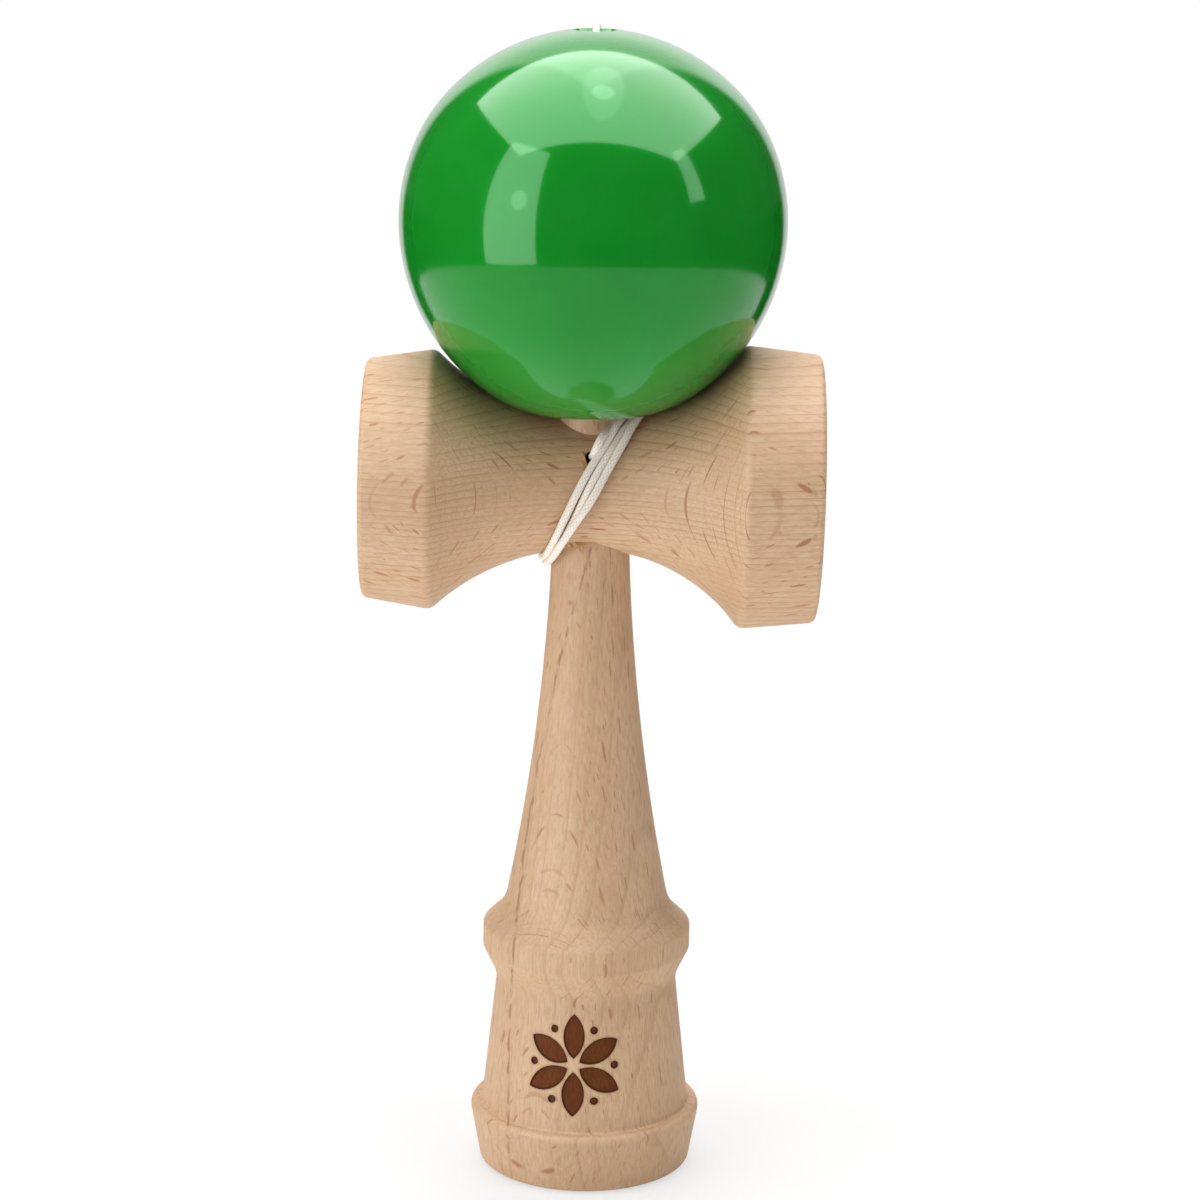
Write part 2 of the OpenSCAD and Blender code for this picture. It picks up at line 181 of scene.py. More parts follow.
# Its way over the waist, then from the ball's middle under it, up its back and down into its top
WAIST_WAY = [
    (8.25, -2.2, 12.6), (9.2, 0.2, 12.95), (9.5, 2.8, 12.6), (9.05, 5.6, 11.6), (8.4, 8.3, 10.7),
    (7.8, 10.7, 10.9),
]
BALL_WAY = [
    (7.4, 12.8, -28.5), (7.4, 14.7, -26.6), (7.3, 18.1, -24), (7, 21.9, -20.7), (6.5, 25.3, -16.6),
    (5.8, 28, -11.8), (4.9, 29.8, -6.6), (3.9, 30.7, -1.1), (2.9, 30.5, 4.1), (2, 29.3, 9.7),
    (1.2, 27.2, 14.7), (0.6, 24.1, 19.5), (0.2, 20.1, 23.6), (0, 15.5, 26.9), (0, 10.7, 29),
    (0, 7.6, 29.9), (0, 5.5, 30.4), (0, 3.9, 30.6), (0, 2.5, 30.2), (0, 1.3, 29.3), (0, 0.45, 28.1),
    (0, 0.05, 26.7), (0, 0, 25.2), (0, 0, 23), (0, 0, 20), (0, 0, 17), (0, 0, 14.1),
]


def winding():
    """Points of the turns, laid on the waist. Angles are in tens of degrees, to be of the size of x."""
    keys = [(degrees / 10, x, rise) for degrees, x, rise in TURNS]
    points = []
    for tens, x, rise in smooth_route(keys, WINDING_STEP)[0]:
        a = math.radians(tens * 10)
        r = waist_at(x) + (STRING_R + WRAP_GAP + rise) * math.sqrt(1 + waist_slope(x) ** 2)
        points.append((x, -r * math.cos(a), r * math.sin(a)))
    return points


def smooth_route(points, step):
    """Evenly spaced points on a smooth curve through the given ones."""
    p = np.array(points, float)
    p = np.vstack([2 * p[0] - p[1], p, 2 * p[-1] - p[-2]])
    knots = np.concatenate([[0], np.cumsum(np.sqrt(np.linalg.norm(np.diff(p, axis=0), axis=1)))])
    fine = []
    for i in range(1, len(p) - 2):
        t0, t1, t2, t3 = knots[i - 1 : i + 3]
        t = np.linspace(t1, t2, CURVE_STEPS, endpoint=False)[:, None]
        a1 = (t1 - t) / (t1 - t0) * p[i - 1] + (t - t0) / (t1 - t0) * p[i]
        a2 = (t2 - t) / (t2 - t1) * p[i] + (t - t1) / (t2 - t1) * p[i + 1]
        a3 = (t3 - t) / (t3 - t2) * p[i + 1] + (t - t2) / (t3 - t2) * p[i + 2]
        b1 = (t2 - t) / (t2 - t0) * a1 + (t - t0) / (t2 - t0) * a2
        b2 = (t3 - t) / (t3 - t1) * a2 + (t - t1) / (t3 - t1) * a3
        fine.append((t2 - t) / (t2 - t1) * b1 + (t - t1) / (t2 - t1) * b2)
    fine = np.vstack(fine + [p[-2:-1]])
    run = np.concatenate([[0], np.cumsum(np.linalg.norm(np.diff(fine, axis=0), axis=1))])
    at = np.linspace(0, run[-1], int(round(run[-1] / step)) + 1)
    return np.column_stack([np.interp(at, run, fine[:, k]) for k in range(3)]), at


YARNS = 6
YARN_LAY = 0.78
YARN_RISE = 0.085


def braid_rise(around, along):
    """How far the braid's yarns stand out, at an angle round the string and a length along it."""
    turns = YARNS * around / (2 * math.pi)
    right, left = turns + along / YARN_LAY, turns - along / YARN_LAY
    over = (np.floor(right) + np.floor(left)) % 2
    r, l = np.cos(math.pi * (right % 1 - 0.5)), np.cos(math.pi * (left % 1 - 0.5))
    crown = np.where(over == 0, r**0.6 * (0.5 + 0.5 * l), l**0.6 * (0.5 + 0.5 * r))
    return YARN_RISE * (crown - 0.55)


def braided_tube(name, points, radius, corners, step):
    """A braided tube along a route in millimetres, with a map that runs round and along it."""
    centres, along = smooth_route(points, step)
    ways = np.gradient(centres, axis=0)
    ways /= np.linalg.norm(ways, axis=1)[:, None]
    side = np.cross(ways[0], [1, 0, 0] if abs(ways[0][0]) < 0.6 else [0, 0, 1])
    around = np.linspace(0, 2 * math.pi, corners, endpoint=False)
    rings = []
    for centre, way, s in zip(centres, ways, along):
        side = side - (side @ way) * way
        side /= np.linalg.norm(side)
        up = np.cross(way, side)
        out = radius + braid_rise(around, s)
        spread = np.cos(around)[:, None] * side + np.sin(around)[:, None] * up
        rings.append(centre + out[:, None] * spread)
    last = (len(centres) - 1) * corners
    faces = []
    for ring in range(0, last, corners):
        for j in range(corners):
            a, b = ring + j, ring + (j + 1) % corners
            faces.append((a, b, b + corners, a + corners))
    faces.append(tuple(reversed(range(corners))))
    faces.append(tuple(range(last, last + corners)))
    mesh = bpy.data.meshes.new(name)
    mesh.from_pydata((np.vstack(rings) * MM).tolist(), [], faces)
    lay = mesh.uv_layers.new(name="lay")
    for face in mesh.polygons:
        closing = len(face.vertices) == 4 and any(k % corners == corners - 1 for k in face.vertices)
        for k, loop in zip(face.vertices, face.loop_indices):
            j = corners if closing and k % corners == 0 else k % corners
            lay.data[loop].uv = (j / corners, along[k // corners])
    mesh.shade_smooth()
    tube = bpy.data.objects.new(name, mesh)
    bpy.context.scene.collection.objects.link(tube)
    return tube, centres * MM


STRING_CORNERS, STRING_STEP = 24, 0.18
string_route = leaned(LEAD + winding() + WAIST_WAY) + [(x, y, z + BALL_Z) for x, y, z in BALL_WAY]
string, string_line = braided_tube("braided_string", string_route, STRING_R, STRING_CORNERS, STRING_STEP)

# Tight knots at the string's two ends
KNOT_TURN, KNOT_RISE, KNOT_STRAND_R = 0.33, 0.85, 0.46
KNOT_POINTS, KNOT_CLOSED = 60, 0.985
KNOT_CORNERS, KNOT_STEP = 16, 0.2


def knot(name, centre, along):
    """A small trefoil knot, drawn tight, with its axis along the string."""
    turn = Vector((0, 0, 1)).rotation_difference(Vector(along)).to_matrix()
    points = []
    for i in range(KNOT_POINTS + 1):
        t = 2 * math.pi * i / KNOT_POINTS * KNOT_CLOSED
        p = Vector((math.sin(t) + 2 * math.sin(2 * t), math.cos(t) - 2 * math.cos(2 * t), 0)) * KNOT_TURN
        p.z = -KNOT_RISE * math.sin(3 * t)
        points.append(tuple(turn @ p + Vector(centre)))
    return braided_tube(name, points, KNOT_STRAND_R, KNOT_CORNERS, KNOT_STEP)[0]


def middle(node):
    low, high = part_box(node)
    return (low + high) / 2 / MM


handle_knot = knot("knot_in_handle", middle("anchor_knot"), (0, 1, 0))
bead_knot = knot("knot_under_bead", middle("bead_knot"), (0, 0, 1))


# Turned pieces: how finely they are made, the angle up to which they look smooth, and widths to weld
LATHE_STEPS, BALL_LATHE_STEPS = 160, 192
GRIP_STEPS, SPIKE_STEPS, WAIST_STEPS, CUP_STEPS, BALL_STEPS = 44, 12, 30, 20, 96
ROUND_TURN, ROUND_STEPS = math.radians(7), 4
STRING_HOLE_SIDES, SEAT_SIDES = 32, 96
SMOOTH_ANGLE = math.radians(35)
WELD, SLIVER = 0.002, 0.004


def deselect():
    if bpy.context.mode != "OBJECT":
        bpy.ops.object.mode_set(mode="OBJECT")
    bpy.ops.object.select_all(action="DESELECT")


def pick(piece):
    deselect()
    piece.select_set(True)
    bpy.context.view_layer.objects.active = piece


def rounded(corners):
    """An outline with its corners rounded: each corner is (radius, along, rounding)."""
    out = []
    n = len(corners)
    for i, (r, z, rounding) in enumerate(corners):
        p = Vector((r, z))
        if not rounding:
            out.append(p)
            continue
        u = (Vector(corners[i - 1][:2]) - p).normalized()
        w = (Vector(corners[(i + 1) % n][:2]) - p).normalized()
        half = u.angle(w) / 2
        centre = p + (u + w).normalized() * rounding / math.sin(half)
        start = p + u * rounding / math.tan(half) - centre
        end = p + w * rounding / math.tan(half) - centre
        a0 = math.atan2(start.y, start.x)
        turn = (math.atan2(end.y, end.x) - a0 + 3 * math.pi) % (2 * math.pi) - math.pi
        steps = max(ROUND_STEPS, math.ceil(abs(turn) / ROUND_TURN))
        for k in range(steps + 1):
            a = a0 + turn * k / steps
            out.append(centre + rounding * Vector((math.cos(a), math.sin(a))))
    return out


def cup_arc(depth, radius, floor, way, steps):
    """Points of a hollow from its middle out to its edge. way is +1 where the hollow opens towards more."""
    ball = (radius**2 + depth**2) / (2 * depth)
    reach = math.asin(radius / ball)
    middle_along = floor + way * ball
    return [
        (ball * math.sin(reach * k / steps), middle_along - way * ball * math.cos(reach * k / steps), 0)
        for k in range(steps)
    ]


def turn_on_lathe(name, outline, lie, steps):
    """Draws an outline of (radius, along) point by point and spins it. lie puts a point in its place."""
    place = [lie(r, along) * MM for r, along in outline]
    deselect()
    bpy.ops.mesh.primitive_plane_add(size=MM, location=(0, 0, 0))
    piece = bpy.context.object
    piece.name = piece.data.name = name
    bpy.ops.object.mode_set(mode="EDIT")
    bpy.ops.mesh.select_all(action="SELECT")
    bpy.ops.mesh.merge(type="CENTER")
    bpy.ops.transform.translate(value=place[0])
    for a, b in zip(place, place[1:]):
        bpy.ops.mesh.extrude_vertices_move(TRANSFORM_OT_translate={"value": b - a})
    bpy.ops.mesh.select_all(action="SELECT")
    centre = lie(0, 0) * MM
    axis = (lie(0, 1) * MM - centre).normalized()
    bpy.ops.mesh.spin(steps=steps, angle=2 * math.pi, center=centre, axis=axis)
    bpy.ops.mesh.select_all(action="SELECT")
    bpy.ops.mesh.remove_doubles(threshold=WELD * MM)
    bpy.ops.mesh.normals_make_consistent(inside=False)
    bpy.ops.object.mode_set(mode="OBJECT")
    bpy.ops.object.shade_smooth_by_angle(angle=SMOOTH_ANGLE)
    return piece


def upright(r, along):
    return Vector((r, 0, along))


def across(r, along):
    return Vector(leaned([(along, 0, r)])[0])


def drill(piece, start, end, r_start, r_end, sides):
    """Cuts a round hole between two points in millimetres."""
    start, end = Vector(start) * MM, Vector(end) * MM
    deselect()
    bpy.ops.mesh.primitive_cone_add(
        vertices=sides,
        radius1=r_start * MM,
        radius2=r_end * MM,
        depth=(end - start).length,
        location=(start + end) / 2,
        rotation=(end - start).to_track_quat("Z", "Y").to_euler(),
    )
    carve(piece, bpy.context.object)


def clear_slivers(piece):
    """Closes the slivers that a cut leaves, and makes faces with many corners into even triangles."""
    pick(piece)
    bpy.ops.object.mode_set(mode="EDIT")
    bpy.ops.mesh.select_mode(type="FACE")
    bpy.ops.mesh.select_all(action="SELECT")
    bpy.ops.mesh.remove_doubles(threshold=SLIVER * MM)
    bpy.ops.mesh.dissolve_degenerate(threshold=SLIVER * MM)
    bpy.ops.mesh.select_all(action="DESELECT")
    bpy.ops.mesh.select_face_by_sides(number=4, type="GREATER", extend=False)
    bpy.ops.mesh.quads_convert_to_tris(quad_method="BEAUTY", ngon_method="BEAUTY")
    bpy.ops.mesh.select_mode(type="VERT")
    bpy.ops.object.mode_set(mode="OBJECT")
    bpy.ops.object.shade_smooth_by_angle(angle=SMOOTH_ANGLE)


def carve(piece, cutter):
    """Takes the cutter's shape out of the piece and removes the cutter."""
    pick(piece)
    cut = piece.modifiers.new("cut", "BOOLEAN")
    cut.operation, cut.solver, cut.object = "DIFFERENCE", "EXACT", cutter
    bpy.ops.object.modifier_apply(modifier="cut")
    bpy.data.objects.remove(cutter, do_unlink=True)
    bpy.ops.object.shade_smooth_by_angle(angle=SMOOTH_ANGLE)


# Steps of a curve that are left to the rounding at its end, and how far the holes in the handle reach
ROUND_ROOM = 3
HOLE_REACH, STRING_HOLE_END_Y = 9.0, 3.0


def stations(start, end, steps, first, last):
    """Places from the first to the last step of an evenly divided length."""
    return [start + (end - start) * k / steps for k in range(first, last + 1)]


def make_handle():
    nose_z = TIP_Z - NOSE_LENGTH
    grip = [(grip_r(z), z, 0) for z in stations(FLARE_Z, SEAT_Z, GRIP_STEPS, ROUND_ROOM, GRIP_STEPS)]
    spike = [(seat_r(z), z, 0) for z in stations(SEAT_Z, nose_z, SPIKE_STEPS, 1, SPIKE_STEPS - 1)]
    outline = rounded(
        cup_arc(BASE_CUP_DEPTH, BASE_CUP_R, BASE_CUP_DEPTH, -1, CUP_STEPS)
        + [
            (BASE_CUP_R, 0, CUP_EDGE_ROUND),
            (FOOT_BOTTOM_R, 0, FOOT_BOTTOM_ROUND),
            (FOOT_R, FOOT_H, FOOT_TOP_ROUND),
            (BODY_R, FOOT_H, FOOT_STEP_ROUND),
            (NECK_R, NECK_Z, NECK_ROUND),
            (RING_R, RING_LOW_Z, RING_ROUND),
            (RING_R, RING_TOP_Z, RING_ROUND),
            (FLARE_R, FLARE_Z, FLARE_ROUND),
        ]
        + grip
        + spike
        + [(seat_r(nose_z), nose_z, NOSE_ROUND), (NOSE_R, TIP_Z, TIP_ROUND), (0, TIP_Z, 0)]
    )
    handle = turn_on_lathe("turned_handle", outline, upright, LATHE_STEPS)
    for start_y, end_y, r in (
        (-HOLE_REACH, STRING_HOLE_END_Y, STRING_HOLE_R),
        (KNOT_FACE_Y, HOLE_REACH, KNOT_POCKET_R),
    ):
        drill(handle, (0, start_y, STRING_HOLE_Z), (0, end_y, STRING_HOLE_Z), r, r, STRING_HOLE_SIDES)
    return handle


def make_cross_piece():
    small_side = stations(-SMALL_RIDGE_X, 0, WAIST_STEPS, ROUND_ROOM, WAIST_STEPS)
    big_side = stations(0, BIG_RIDGE_X, WAIST_STEPS, 1, WAIST_STEPS - ROUND_ROOM)
    outline = rounded(
        cup_arc(SMALL_CUP_DEPTH, SMALL_CUP_R, SMALL_CUP_DEPTH - CROSS_HALF, -1, CUP_STEPS)
        + [
            (SMALL_CUP_R, -CROSS_HALF, CUP_EDGE_ROUND),
            (SMALL_RIM_R, -CROSS_HALF, RIM_ROUND),
            (SMALL_RIDGE_R, -SMALL_RIDGE_X, RIDGE_ROUND),
        ]
        + [(waist_at(x), x, 0) for x in small_side + big_side]
        + [
            (BIG_RIDGE_R, BIG_RIDGE_X, RIDGE_ROUND),
            (BIG_RIM_R, CROSS_HALF, RIM_ROUND),
            (BIG_CUP_R, CROSS_HALF, CUP_EDGE_ROUND),
        ]
        + cup_arc(BIG_CUP_DEPTH, BIG_CUP_R, CROSS_HALF - BIG_CUP_DEPTH, 1, CUP_STEPS)[::-1]
    )
    cross = turn_on_lathe("turned_cross_piece", outline, across, LATHE_STEPS)
    low, high = SEAT_Z - WAIST_R, SEAT_Z + 3 * WAIST_R
    drill(cross, (0, 0, low), (0, 0, high), seat_r(low) + SEAT_GAP, seat_r(high) + SEAT_GAP, SEAT_SIDES)
    inner, outer = (0, 0, STRING_HOLE_Z), (0, -2 * WAIST_R, STRING_HOLE_Z)
    drill(cross, inner, outer, STRING_MOUTH_R, STRING_MOUTH_R, STRING_HOLE_SIDES)
    return cross


# The ball is turned by hand: how far its profile swells, at which angle from the top and how widely.
# BALL_SET is how far it sits off its place.
BALL_SWELLS = [(0.10, 0, 25), (0.10, 25, 20), (0.36, 56, 22), (-0.13, 106, 16), (0.50, 153, 18)]
BALL_SET = (-0.15, 0, 0.22)


def ball_r(angle):
    degrees = math.degrees(angle)
    swells = [swell * math.exp(-(((degrees - at) / wide) ** 2)) for swell, at, wide in BALL_SWELLS]
    return BALL_R + sum(swells)


def make_ball():
    spike_hole_z = BALL_Z - BALL_R + SPIKE_HOLE_DEPTH
    chamber_z = spike_hole_z + CHAMBER_H
    low, high = math.pi - math.asin(SPIKE_HOLE_R / BALL_R), math.asin(FUNNEL_R / BALL_R)
    skin = []
    angles = stations(low, high, BALL_STEPS, 0, BALL_STEPS)
    for a in angles:
        rounding = SKIN_EDGE_ROUND if a in (angles[0], angles[-1]) else 0
        skin.append((ball_r(a) * math.sin(a), BALL_Z + ball_r(a) * math.cos(a), rounding))
    funnel_z = skin[-1][1]
    outline = rounded(
        [
            (STRING_HOLE_R, chamber_z, 0),
            (CHAMBER_R, chamber_z, CHAMBER_TOP_ROUND),
            (CHAMBER_R, spike_hole_z, CHAMBER_EDGE_ROUND),
            (SPIKE_HOLE_R, spike_hole_z, SPIKE_HOLE_ROUND),
        ]
        + skin
        + [(STRING_HOLE_R, funnel_z - FUNNEL_DEPTH, FUNNEL_ROUND)]
    )

    def set_down(r, along):
        return upright(r, along) + Vector(BALL_SET)

    return turn_on_lathe("lacquered_ball", outline + outline[:1], set_down, BALL_LATHE_STEPS)


handle = make_handle()
cross_piece = make_cross_piece()
ball = make_ball()

# Splinters left at the edge of the string's hole and where the handle enters the cross piece
SPLINTER_R, SPLINTER_TAPER, SPLINTER_STEP, SPLINTER_SIDES = 0.3, 0.8, 0.25, 3
SPLINTERS = [
    [(-1.65, -8.0, 118.5), (-1.2, -8.85, 117.9), (-0.8, -9.3, 117.1)],
    [(-1.4, -8.6, 117.6), (-1, -9.2, 117), (-0.65, -9.6, 116.3)],
    [(-1.5, -8.9, 117.1), (-1.2, -9.4, 116.6), (-1.15, -9.6, 116.1)],
    [(-4.3, -5.6, 103.7), (-3.7, -6.3, 103.2), (-3.1, -6.5, 102.9)],
    [(-3.3, -5.9, 103.7), (-2.8, -6.6, 103.2), (-2.3, -6.7, 102.8)],
    [(-2.3, -6.2, 103.9), (-1.7, -6.9, 103.4), (-1, -7.1, 102.6)],
    [(-1.9, -6.3, 103.6), (-0.6, -6.7, 103.6), (0.9, -6.5, 103.7)],
    [(-2, -6.4, 103.3), (-1.6, -6.8, 102.7), (-1.2, -6.9, 102.2)],
]


def make_splinter(way):
    """A three-sided sliver of wood, drawn out along its way and tapered to its end."""
    line = [Vector(p) * MM for p in smooth_route(way, SPLINTER_STEP)[0]]
    along = (line[-1] - line[0]).normalized()
    side = along.cross((0, 1, 0)).normalized()
    turn = Matrix((side.cross(along), side, along)).transposed()
    deselect()
    bpy.ops.mesh.primitive_circle_add(
        vertices=SPLINTER_SIDES,
        radius=SPLINTER_R * MM,
        fill_type="NGON",
        location=line[0],
        rotation=turn.to_euler(),
    )
    bpy.ops.object.transform_apply(location=True, rotation=True, scale=True)
    bpy.ops.object.mode_set(mode="EDIT")
    bpy.ops.mesh.select_mode(type="FACE")
    bpy.ops.mesh.select_all(action="SELECT")
    widths = [1 - SPLINTER_TAPER * i / (len(line) - 1) for i in range(len(line))]
    for i in range(1, len(line)):
        step, shrink = line[i] - line[i - 1], widths[i] / widths[i - 1]
        bpy.ops.mesh.extrude_region_move(TRANSFORM_OT_translate={"value": step})
        bpy.ops.transform.resize(value=(shrink, shrink, shrink), center_override=line[i])
    bpy.ops.mesh.select_mode(type="VERT")
    bpy.ops.mesh.select_all(action="SELECT")
    bpy.ops.mesh.normals_make_consistent(inside=False)
    bpy.ops.object.mode_set(mode="OBJECT")
    return bpy.context.object


def make_splinters():
    slivers = [make_splinter(way) for way in SPLINTERS]
    pick(slivers[0])
    for sliver in slivers[1:]:
        sliver.select_set(True)
    bpy.ops.object.join()
    slivers[0].name = slivers[0].data.name = "splinters"
    return slivers[0]


splinters = make_splinters()

# A burnt flower on the front of the body: six petals with a dot between each two
MOTIF_TURN = math.radians(-6.6)
MOTIF_Z = 20.9
MOTIF_R = 15.6
PETALS, PETAL_START, PETAL_END, PETAL_HALF = 6, 1.1, 8.3, 1.75
PETAL_LENGTH = PETAL_END - PETAL_START
PETAL_ARC = (PETAL_LENGTH**2 / 4 + PETAL_HALF**2) / (2 * PETAL_HALF)
PETAL_STEPS, PETAL_TRIM = 24, 0.012
DOT_AT, DOT_R = 6.6, 0.62
DOT_STEPS, DOT_TRIM = 12, math.radians(8)
BURN_DEPTH, CUTTER_OUT = 0.22, 1


def body_r(z):
    return BODY_R + (NECK_R - BODY_R) * (z - FOOT_H) / (NECK_Z - FOOT_H)


def on_body(a, b, out):
    """A point of the motif, a across and b up from its middle, that far out from the body's skin."""
    turn = MOTIF_TURN + a / MOTIF_R
    r = body_r(MOTIF_Z + b) + out
    return (r * math.sin(turn) * MM, -r * math.cos(turn) * MM, (MOTIF_Z + b) * MM)


def petal_section(t):
    """How far out a petal is, a share t of the way along it, and half its width: a lens of two arcs."""
    t = PETAL_TRIM + (1 - 2 * PETAL_TRIM) * t
    half = math.sqrt(PETAL_ARC**2 - (PETAL_LENGTH * (t - 0.5)) ** 2) - (PETAL_ARC - PETAL_HALF)
    return PETAL_START + PETAL_LENGTH * t, half


def dot_section(t):
    """The same for a dot."""
    a = DOT_TRIM + (math.pi - 2 * DOT_TRIM) * t
    return DOT_AT - DOT_R * math.cos(a), DOT_R * math.sin(a)


def burn_motif(piece):
    """Sinks the flower into the piece with a cutter that follows the body's skin."""
    points, faces = [], []

    def bar(section, steps, turn):
        first, last = len(points), len(points) + 4 * steps
        c, s = math.cos(turn), math.sin(turn)
        for i in range(steps + 1):
            x, y = section(i / steps)
            near, far = (x * c - y * s, x * s + y * c), (x * c + y * s, x * s - y * c)
            points.extend([on_body(*near, -BURN_DEPTH), on_body(*far, -BURN_DEPTH)])
            points.extend([on_body(*far, CUTTER_OUT), on_body(*near, CUTTER_OUT)])
        for a in range(first, last, 4):
            faces.extend([(a + k, a + 4 + k, a + 4 + (k + 1) % 4, a + (k + 1) % 4) for k in range(4)])
        faces.extend([(first + 3, first + 2, first + 1, first), (last, last + 1, last + 2, last + 3)])

    for k in range(PETALS):
        bar(petal_section, PETAL_STEPS, 2 * math.pi * (k + 0.5) / PETALS)
        bar(dot_section, DOT_STEPS, 2 * math.pi * k / PETALS)
    mesh = bpy.data.meshes.new("motif_cutter")
    mesh.from_pydata(points, [], faces)
    cutter = bpy.data.objects.new("motif_cutter", mesh)
    bpy.context.scene.collection.objects.link(cutter)
    pick(cutter)
    bpy.ops.object.mode_set(mode="EDIT")
    bpy.ops.mesh.select_all(action="SELECT")
    bpy.ops.mesh.normals_make_consistent(inside=False)
    bpy.ops.object.mode_set(mode="OBJECT")
    carve(piece, cutter)
    clear_slivers(piece)


burn_motif(handle)


# Materials
def new_material(name):
    material = bpy.data.materials.new(name)
    material.use_nodes = True
    return material, material.node_tree, material.node_tree.nodes["Principled BSDF"]


def put(tree, kind, inputs=(), **settings):
    """A node with its settings, and its inputs linked or set in order or by name."""
    node = tree.nodes.new(kind)
    for key, value in settings.items():
        setattr(node, key, value)
    pairs = inputs.items() if isinstance(inputs, dict) else enumerate(inputs)
    for key, value in pairs:
        if isinstance(value, bpy.types.NodeSocket):
            tree.links.new(value, node.inputs[key])
        else:
            node.inputs[key].default_value = value
    return node


def calc(tree, operation, *values, clamp=False):
    return put(tree, "ShaderNodeMath", values, operation=operation, use_clamp=clamp).outputs[0]


def length_of(tree, a, b):
    squares = calc(tree, "ADD", calc(tree, "MULTIPLY", a, a), calc(tree, "MULTIPLY", b, b))
    return calc(tree, "SQRT", squares)


def remap(tree, value, low, high, to_low=0.0, to_high=1.0):
    inputs = (value, low, high, to_low, to_high)
    return put(tree, "ShaderNodeMapRange", inputs, interpolation_type="SMOOTHSTEP").outputs[0]


def blend_colour(tree, share, first, second):
    node = put(tree, "ShaderNodeMix", data_type="RGBA")
    for key, value in ((0, share), (6, first), (7, second)):
        if isinstance(value, bpy.types.NodeSocket):
            tree.links.new(value, node.inputs[key])
        else:
            node.inputs[key].default_value = value if key == 0 else (*value, 1)
    return node.outputs[2]


def stretch(tree, vector, scale, shift=(0, 0, 0)):
    return put(tree, "ShaderNodeMapping", {"Vector": vector, "Scale": scale, "Location": shift}).outputs[0]


def noise(tree, vector, detail=2.0, roughness=0.5):
    inputs = {"Vector": vector, "Scale": 1.0, "Detail": detail, "Roughness": roughness}
    return put(tree, "ShaderNodeTexNoise", inputs).outputs["Fac"]


def emboss(tree, bsdf, height, strength, depth):
    """Raises the look of the surface by a height map, that many millimetres deep."""
    inputs = {"Strength": strength, "Distance": depth * MM, "Height": height}
    tree.links.new(put(tree, "ShaderNodeBump", inputs).outputs[0], bsdf.inputs["Normal"])


def new_group(name, inputs, outputs):
    tree = bpy.data.node_groups.new(name, "ShaderNodeTree")
    for label, kind, value in inputs:
        socket = tree.interface.new_socket(label, in_out="INPUT", socket_type=kind)
        if value is not None:
            socket.default_value = value
    for label, kind in outputs:
        tree.interface.new_socket(label, in_out="OUTPUT", socket_type=kind)
    return tree, tree.nodes.new("NodeGroupInput").outputs, tree.nodes.new("NodeGroupOutput").inputs


def ray_cells(tree, grain, spacing, thickness, height, shift):
    """The wood's rays, as thin sheets across the rings: a mask of those that the surface cuts."""
    place = stretch(tree, grain, tuple(1 / s for s in spacing), shift)
    cells = put(tree, "ShaderNodeTexVoronoi", {"Vector": place, "Scale": 1.0, "Randomness": 1.0})
    off = put(tree, "ShaderNodeVectorMath", (place, cells.outputs["Position"]), operation="SUBTRACT")
    part = put(tree, "ShaderNodeSeparateXYZ", (off.outputs[0],)).outputs
    luck = put(tree, "ShaderNodeSeparateColor", (cells.outputs["Color"],)).outputs
    thick = calc(tree, "MULTIPLY_ADD", luck[0], thickness, thickness * 0.4)
    tall = calc(tree, "MULTIPLY_ADD", luck[1], height, height * 0.35)
    v = calc(tree, "DIVIDE", calc(tree, "MULTIPLY", part[1], spacing[1]), thick)
    w = calc(tree, "DIVIDE", calc(tree, "MULTIPLY", part[2], spacing[2]), tall)
    q = calc(tree, "ADD", calc(tree, "MULTIPLY", v, v), calc(tree, "MULTIPLY", w, w))
    return remap(tree, q, 1.0, 0.25), luck[2]


# Colours of beech: the pale and the warm wood, its pores, rings and specks, and its rays
BEECH_PALE, BEECH_WARM = (0.66, 0.455, 0.288), (0.60, 0.395, 0.235)
PORE_BROWN, RING_BROWN, SPECK_BROWN = (0.47, 0.29, 0.16), (0.46, 0.265, 0.145), (0.38, 0.215, 0.115)
RAY_BROWN = (0.38, 0.175, 0.082)


